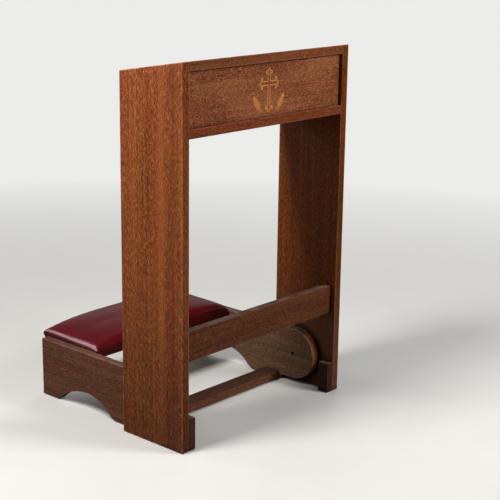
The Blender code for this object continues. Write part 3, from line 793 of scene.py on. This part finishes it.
stalks = [
    flowing([in_ear(0, 0), in_ear(5, 2.2), in_ear(11, 3.4), in_ear(17, 4.0)]),
    flowing([in_ear(0, 0), in_ear(5, -2.2), in_ear(11, -3.2), in_ear(16, -3.8)]),
    flowing([in_ear(4, 0), in_ear(30, 0.3), in_ear(ear_length, 0)]),
]
kernels = []
for i in range(KERNEL_ROWS):
    size = KERNEL_LENGTH * math.cos(0.19 * (i - 1.2))
    lean = math.radians(40 - 2.2 * i)
    kernels.append(kernel(FIRST_RIGHT + ROW_STEP * i, 1, size, lean))
    kernels.append(kernel(FIRST_LEFT + ROW_STEP * i, -1, size, lean))
print("kernels in an ear:", len(kernels))

# %% Turn the lines into gilt
CROSSING = 0.784  # height above the floor
OFF_MIDDLE = 0.0035  # the ornament sits a little right of the panel's middle
LINE, FINE_LINE = 0.0019, 0.0009
PRESSED = 0.34  # how much of its thickness a line keeps
BRUSH_MARKS = 0.0002
PANEL_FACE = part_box("front_panel")[0].y


def tube_mesh(name, lines, width):
    """Round wires along lines of points. Each line comes with whether it is closed."""
    curve = bpy.data.curves.new(name, "CURVE")
    curve.dimensions = "3D"
    curve.bevel_depth, curve.bevel_resolution, curve.use_fill_caps = width / 2, 2, True
    for points, closed in lines:
        spline = curve.splines.new("POLY")
        spline.points.add(len(points) - 1)
        spline.use_cyclic_u = closed
        for point, place in zip(spline.points, points):
            point.co = (*place, 1)
    holder = bpy.data.objects.new(name, curve)
    mesh = bpy.data.meshes.new_from_object(holder)
    bpy.data.objects.remove(holder)
    bpy.data.curves.remove(curve)
    mesh.shade_smooth()
    return mesh


def gilt_lines(name, closed, opened=(), side=1, width=LINE):
    lines = [(line, True) for line in closed] + [(line, False) for line in opened]
    placed = [
        ([(OFF_MIDDLE + side * p.x / 1000, 0, CROSSING + p.y / 1000) for p in line], ring)
        for line, ring in lines
    ]
    mesh = tube_mesh(name, placed, width)
    for vertex in mesh.vertices:
        vertex.co.y = PANEL_FACE + vertex.co.y * PRESSED
    piece = put(name, mesh)
    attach(piece, "stand")
    return piece


gilt, shader = material_of("gilt_line", Specular_IOR_Level=0.4)
place = here()
brushed = noise(place, 900.0, 3.0)
thin = noise(place, 160.0, 4.0, 0.6)
colour = mix(span(brushed, 0.3, 0.7), paint(230, 144, 68), paint(250, 180, 100))
colour = mix(times(span(thin, 0.60, 0.72), 0.5), colour, paint(150, 78, 30))
bump = bumped(brushed, 0.3, BRUSH_MARKS)
wire(shader, Base_Color=colour, Normal=bump)
wire(shader, Roughness=span(thin, 0.3, 0.7, 0.38, 0.55))

ornament = [
    gilt_lines("gilt_cross", [cross]),
    gilt_lines("gilt_ear_right", kernels, stalks, width=FINE_LINE),
    gilt_lines("gilt_ear_left", kernels, stalks, side=-1, width=FINE_LINE),
]
for piece in ornament:
    piece.data.materials.append(gilt)
print("ornament faces:", [len(piece.data.polygons) for piece in ornament])

# %% [markdown]
# ## The upholstered pad
# The pad is foam on a board, with vinyl pulled over it and stapled underneath. Its lower part
# sits between the arms, its upper edge swells a little over them, and the middle is crowned.
# It isn't quite even: the right half is fuller, the rear edge is a little higher, and the
# ends are rounder in front. A modelled block would look hard. So a form is shaped a few
# millimetres too small, remeshed into even squares and inflated as cloth: its foot is
# pinned, pressure lifts the rest, and no point may move further than a cap.

# %% Shape the foam
pad_low, pad_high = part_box("kneeling_pad")
board_low, board_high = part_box("pad_board")
PAD_MIDDLE = (pad_low.y + pad_high.y) / 2
PAD_HALF = Vector((0.2278, (pad_high.y - pad_low.y) / 2))
ARM_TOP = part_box("left_arm")[1].z
SIDE_TOP = ARM_TOP - 0.003  # up to here the sides are upright
CORNER = ARM_TOP + 0.011  # height of the four corners
BOW = 0.0145  # how much higher the long edges are in their middle
REAR_LIFT = 0.003  # how much higher the rear edge is than the front
SLANT = 0.005  # how far the right end leans in above the board
FULLER = (3.4, 8.0)  # how soon that height is reached, from the left end and from the right
CROWN = 0.008  # how much higher the middle of the top is, before it is inflated
ROUND_LONG = 0.013  # radius of the edge along the long sides
ROUND_END = (0.016, 0.008)  # and at the ends, where it is fuller in front than behind
EARS = 0.005  # how far the corners stand out, where the sides pull in between them
COLUMNS, ROWS = 96, 56


def toward_edges(count):
    """Numbers from -1 to 1 that crowd together at both ends."""
    return [math.sin(math.pi / 2 * (2 * i / count - 1)) for i in range(count + 1)]


def sunk(inward, radius):
    """How far the rounded edge has dropped, at this distance inward from the side."""
    near = min(inward, radius) / radius
    return radius * (1 - math.sqrt(near * (2 - near)))


def turned(ring):
    """The same ring, started one point later."""
    return ring[1:] + ring[:1]


def within(value, limit):
    return max(-limit, min(limit, value))


def foam_point(u, v):
    """A point of the foam's top, from its shares of the half width and of the half depth."""
    fuller = FULLER[u > 0]
    crowned = CORNER + BOW * (1 - abs(u) ** fuller) + REAR_LIFT * max(0.0, v)
    crowned += CROWN * (1 - abs(u) ** (0.74 * fuller)) * (1 - abs(v) ** 2.5)
    round_end = ROUND_END[0] + (ROUND_END[1] - ROUND_END[0]) * (v + 1) / 2
    drop = max(sunk(PAD_HALF.x * (1 - abs(u)), round_end), sunk(PAD_HALF.y * (1 - abs(v)), ROUND_LONG))
    ear = EARS * abs(u) ** 20 * abs(v) ** 8
    x = u * PAD_HALF.x + math.copysign(ear, u) - SLANT * max(0.0, u) ** 6
    y = PAD_MIDDLE + v * PAD_HALF.y + math.copysign(ear, v)
    return x, y, crowned - drop


def put_shape(name, shape):
    """A new object made of a finished bmesh."""
    mesh = bpy.data.meshes.new(name)
    shape.to_mesh(mesh)
    shape.free()
    return put(name, mesh)


shape = bmesh.new()
across_pad, along_pad = toward_edges(COLUMNS), toward_edges(ROWS)
top = {}
for i, u in enumerate(across_pad):
    for j, v in enumerate(along_pad):
        top[i, j] = shape.verts.new(foam_point(u, v))
for i in range(COLUMNS):
    for j in range(ROWS):
        shape.faces.new((top[i, j], top[i + 1, j], top[i + 1, j + 1], top[i, j + 1]))
edge_path = [(i, 0) for i in range(COLUMNS)] + [(COLUMNS, j) for j in range(ROWS)]
edge_path += [(i, ROWS) for i in range(COLUMNS, 0, -1)] + [(0, j) for j in range(ROWS, 0, -1)]
rings = [[top[key] for key in edge_path]]
for z in (SIDE_TOP, board_low.z):
    ring = []
    for vertex, (i, j) in zip(rings[0], edge_path):
        y = within(vertex.co.y - PAD_MIDDLE, PAD_HALF.y)
        ring.append(shape.verts.new((PAD_HALF.x * across_pad[i], PAD_MIDDLE + y, z)))
    rings.append(ring)
for upper_ring, lower_ring in zip(rings, rings[1:]):
    for face_corners in zip(turned(upper_ring), upper_ring, lower_ring, turned(lower_ring)):
        shape.faces.new(face_corners)
shape.faces.new(reversed(rings[-1]))
bmesh.ops.recalc_face_normals(shape, faces=shape.faces)
pad = put_shape("pad_cover", shape)
print("foam size in mm:", [round(1000 * d, 1) for d in pad.dimensions])

# %% Inflate the cover
VOXEL = 0.004
SWELL_CAP = 0.006  # no point moves further than this
BESIDE_ARM = 0.006  # this close to an end, the arm holds the cover up to its own top
LOOSENS_OVER = 0.008  # height over which the cover goes from held to free
FOLD_HEIGHT = 0.002  # the cover is held this far above the board's underside
IRONED_ABOVE = ARM_TOP + 0.006  # the squares' steps are smoothed here
STEPS = 20


def apply_all(piece):
    bpy.ops.object.select_all(action="DESELECT")
    piece.select_set(True)
    bpy.context.view_layer.objects.active = piece
    for modifier in list(piece.modifiers):
        bpy.ops.object.modifier_apply(modifier=modifier.name)


remesh = pad.modifiers.new("even squares", "REMESH")
remesh.mode, remesh.voxel_size = "VOXEL", VOXEL
apply_all(pad)

before = np.array([v.co for v in pad.data.vertices])
held = pad.vertex_groups.new(name="held")
for vertex in pad.data.vertices:
    beside_arm = abs(vertex.co.x) > PAD_HALF.x - BESIDE_ARM
    foot_height = ARM_TOP if beside_arm else board_low.z + FOLD_HEIGHT
    loose = (vertex.co.z - foot_height) / LOOSENS_OVER
    held.add([vertex.index], min(1.0, max(0.0, 1.0 - loose)), "REPLACE")

settings = pad.modifiers.new("vinyl", "CLOTH").settings
settings.quality = 8
settings.mass = 0.4
settings.tension_stiffness = settings.compression_stiffness = 18
settings.shear_stiffness = 8
settings.bending_stiffness = 8.0
settings.use_pressure = True
settings.uniform_pressure_force = 0.5
settings.effector_weights.gravity = 0.0
settings.vertex_group_mass = "held"
for step in range(1, STEPS + 1):
    scene.frame_set(step)
apply_all(pad)
scene.frame_set(1)
move = np.array([v.co for v in pad.data.vertices]) - before
length = np.linalg.norm(move, axis=1, keepdims=True)
move *= np.minimum(1.0, SWELL_CAP / np.maximum(length, 1e-9))
pad.data.vertices.foreach_set("co", (before + move).astype(np.float32).ravel())
print("largest move in mm:", round(1000 * float(length.max()), 1), "kept to", 1000 * SWELL_CAP)
pad.vertex_groups.clear()
upper = pad.vertex_groups.new(name="upper")
upper.add([v.index for v in pad.data.vertices if v.co.z > IRONED_ABOVE], 1.0, "REPLACE")
ironed = pad.modifiers.new("ironed", "SMOOTH")
ironed.factor, ironed.iterations, ironed.vertex_group = 0.5, 2, "upper"
pad.modifiers.new("finer", "SUBSURF").levels = 1
apply_all(pad)
print("pad top in mm:", round(1000 * max(v.co.z for v in pad.data.vertices), 1))

# %% Corner tucks, and the pocket for the board
TUCK_IN, TUCK_WIDE, TUCK_DEEP = 0.009, 0.0028, 0.0011
TUCK_TOP = ARM_TOP + 0.002
PLAY, POCKET_MOUTH = 0.0003, 0.004  # room around the board, and how far the cutter sticks out below

place = np.array([v.co for v in pad.data.vertices])
normal = np.array([v.normal for v in pad.data.vertices])
climb = np.clip((place[:, 2] - board_low.z) / (TUCK_TOP - board_low.z), 0.0, 1.4)
fold = PAD_HALF.x - TUCK_IN * (1 - 0.6 * climb)  # each tuck leans out to its corner as it climbs
off = (np.abs(place[:, 0]) - fold) / TUCK_WIDE
upright = np.abs(normal[:, 1]) > 0.6
dent = TUCK_DEEP * np.exp(-off**2) * np.clip((1.35 - climb) / 0.4, 0.0, 1.0) * upright
pad.data.vertices.foreach_set("co", (place - normal * dent[:, None]).astype(np.float32).ravel())

size = board_high - board_low + Vector((2 * PLAY, 2 * PLAY, POCKET_MOUTH))
middle = (board_high + board_low) / 2 + Vector((0, 0, PLAY - POCKET_MOUTH / 2))
block = bmesh.new()
bmesh.ops.create_cube(block, size=1.0, matrix=Matrix.Translation(middle) @ Matrix.Diagonal((*size, 1.0)))
pocket = put_shape("pocket", block)
cut = pad.modifiers.new("pocket", "BOOLEAN")
cut.operation, cut.solver, cut.object = "DIFFERENCE", "EXACT", pocket
apply_all(pad)
bpy.data.objects.remove(pocket)
pad.data.shade_smooth()
pad.data.set_sharp_from_angle(angle=math.radians(55))
print("cover faces with its pocket:", len(pad.data.polygons))

# %% [markdown]
# ## Under the pad
# The pad is seen from below when its frame is folded up. There the vinyl turns in under the
# board and is stapled, and its cut edge is never quite straight. The margin is a flat strip
# that follows the board's outline, made thick by Solidify. A staple is a bent wire, so it is
# made as the gilt lines are, and repeated along the two long sides.

# %% Turned margin
MARGIN, MARGIN_THICK = 0.025, 0.00022
MARGIN_TOP = board_low.z - 0.00004
MARGIN_STEP = 0.006  # length of one piece of its outline
WAVES = ((0.0012, 0.37, 0.0), (0.0008, 0.93, 1.0))  # of the cut edge: height, pace and start
INSET, SAME_CORNER = 0.0004, 0.00005
margin_x, margin_y = PAD_HALF.x - INSET, PAD_HALF.y - INSET

outline = []
for corner, side in zip(CORNERS, ((1, 0), (0, 1), (-1, 0), (0, -1))):
    run = 2 * (PAD_HALF.x if side[0] else PAD_HALF.y)
    steps = round(run / MARGIN_STEP)
    for i in range(steps):
        along = run * i / steps
        x = corner[0] * margin_x + side[0] * along
        y = corner[1] * margin_y + side[1] * along
        outline.append((x, y))
strip = bmesh.new()
rings = []
for share in (0.0, 0.5, 1.0):
    ring = []
    for i, (x, y) in enumerate(outline):
        wavy = sum((size * math.sin(pace * i + start) for size, pace, start in WAVES), MARGIN)
        x, y = within(x, margin_x - share * wavy), within(y, margin_y - share * wavy)
        ring.append(strip.verts.new((x, PAD_MIDDLE + y, MARGIN_TOP)))
    rings.append(ring)
for outer, inner in zip(rings, rings[1:]):
    for face_corners in zip(outer, inner, turned(inner), turned(outer)):
        strip.faces.new(face_corners)
bmesh.ops.remove_doubles(strip, verts=strip.verts, dist=SAME_CORNER)
margin = put_shape("pad_margin", strip)
thick = margin.modifiers.new("thick", "SOLIDIFY")
thick.thickness, thick.offset = MARGIN_THICK, 1.0
apply_all(margin)
print("margin faces:", len(margin.data.polygons))

# %% Staples
WIRE = 0.0005
STAPLE_HALF, STAPLE_LEG = 0.005, 0.0002
STAPLES_EACH_WAY, STAPLE_STEP = 5, 0.036  # counted from the middle of a long side
FROM_EDGE = 0.012
BENT_WIRE = ((-1, STAPLE_LEG), (-1, 0), (1, 0), (1, STAPLE_LEG))
crown = MARGIN_TOP - MARGIN_THICK - WIRE / 2

wires = []
for side in (-1, 1):
    for i in range(-STAPLES_EACH_WAY, STAPLES_EACH_WAY + 1):
        x = i * STAPLE_STEP
        y = PAD_MIDDLE + side * (PAD_HALF.y - FROM_EDGE + 0.001 * math.sin(2.1 * i))
        lean = 0.0006 * math.sin(1.7 * i + side)
        wires.append(([(x + end * STAPLE_HALF, y + end * lean, crown + up) for end, up in BENT_WIRE], False))
staples = put("pad_staples", tube_mesh("pad_staples", wires, WIRE))
staples.data.materials.append(zinc)
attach(staples, "kneeler")
print("staples:", len(wires))

# %% [markdown]
# ## Burgundy vinyl
# The cover is a deep red vinyl with an embossed leather grain and a soft gloss. Modelled
# grain would need millions of faces. A Voronoi pattern with its cells rounded off, at about
# a millimetre, bends the reflections instead, and its creases are painted darker as shade.
# Slight unevenness in the gloss keeps it from looking wet. The lowest edge, where the vinyl
# turns under, is painted darker as shade.

# %% Leather grain
WARP = 0.0012
leather_grain, entry, leave = shader_group("leather grain", ["Vector", "Cells"], ["Height", "Crease"])
warped = add("TexNoise", {"Vector": entry["Vector"], "Scale": 240.0, "Detail": 1.0}).outputs["Color"]
shifted = vectors("MULTIPLY_ADD", warped, (WARP, WARP, WARP), entry["Vector"])[0]
cells = add("TexVoronoi", {"Vector": shifted, "Scale": entry["Cells"]}, feature="DISTANCE_TO_EDGE")
to_edge = cells.outputs["Distance"]
wire(leave, Height=span(to_edge, 0.0, 0.30), Crease=span(to_edge, 0.08, 0.0))
print("leather grain has", len(leather_grain.nodes), "nodes")

# %% Vinyl material
SHADE_TOP, SHADE_FULL = 0.139, 0.128  # heights between which the lower edge is painted into shade
END_HIGHER = 0.011  # and how much higher that is at the pad's ends
PEBBLE = 0.0003

vinyl, shader = material_of("burgundy_vinyl", Specular_IOR_Level=0.30, Coat_Roughness=0.24)
shader.inputs["Specular Tint"].default_value = (1.0, 0.72, 0.76, 1.0)
place = here()
pebble = use(leather_grain, Vector=place, Cells=720.0)
cloud = noise(place, 16.0, 5.0, 0.6)
colour = mix(span(cloud, 0.3, 0.7), paint(76, 5, 13), paint(94, 8, 19))
# The grain's creases are painted darker, as the shade that falls in them.
colour = mix(times(pebble["Crease"], 0.35), colour, paint(56, 4, 12))
# The lower edge, where the cover turns under, is painted darker as shade.
at_ends = span(calc("ABSOLUTE", facing("X")), 0.4, 0.8, 0.0, END_HIGHER)
above_edge = calc("SUBTRACT", at("Z"), at_ends)
painted_low_shade = span(above_edge, SHADE_TOP, SHADE_FULL, 0.0, 0.75)
not_below = span(facing("Z"), -0.7, -0.3)
colour = mix(times(painted_low_shade, not_below), colour, paint(26, 5, 8))
sheen_and_dust = use(dust_sheen_group, Vector=place)["Dust"]
colour = mix(times(sheen_and_dust, 0.03), colour, paint(160, 120, 118))
rough = calc("ADD", span(cloud, 0.3, 0.7, 0.26, 0.30), times(sheen_and_dust, 0.08))
bump = bumped(pebble["Height"], 0.22, PEBBLE)
wire(shader, Base_Color=colour, Roughness=rough, Normal=bump)
wire(shader, Coat_Weight=span(cloud, 0.3, 0.7, 0.15, 0.22))
for piece in (pad, margin):
    piece.data.materials.clear()
    piece.data.materials.append(vinyl)
    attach(piece, "kneeler")
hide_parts("kneeling_pad")
print("vinyl on:", pad.name, margin.name)
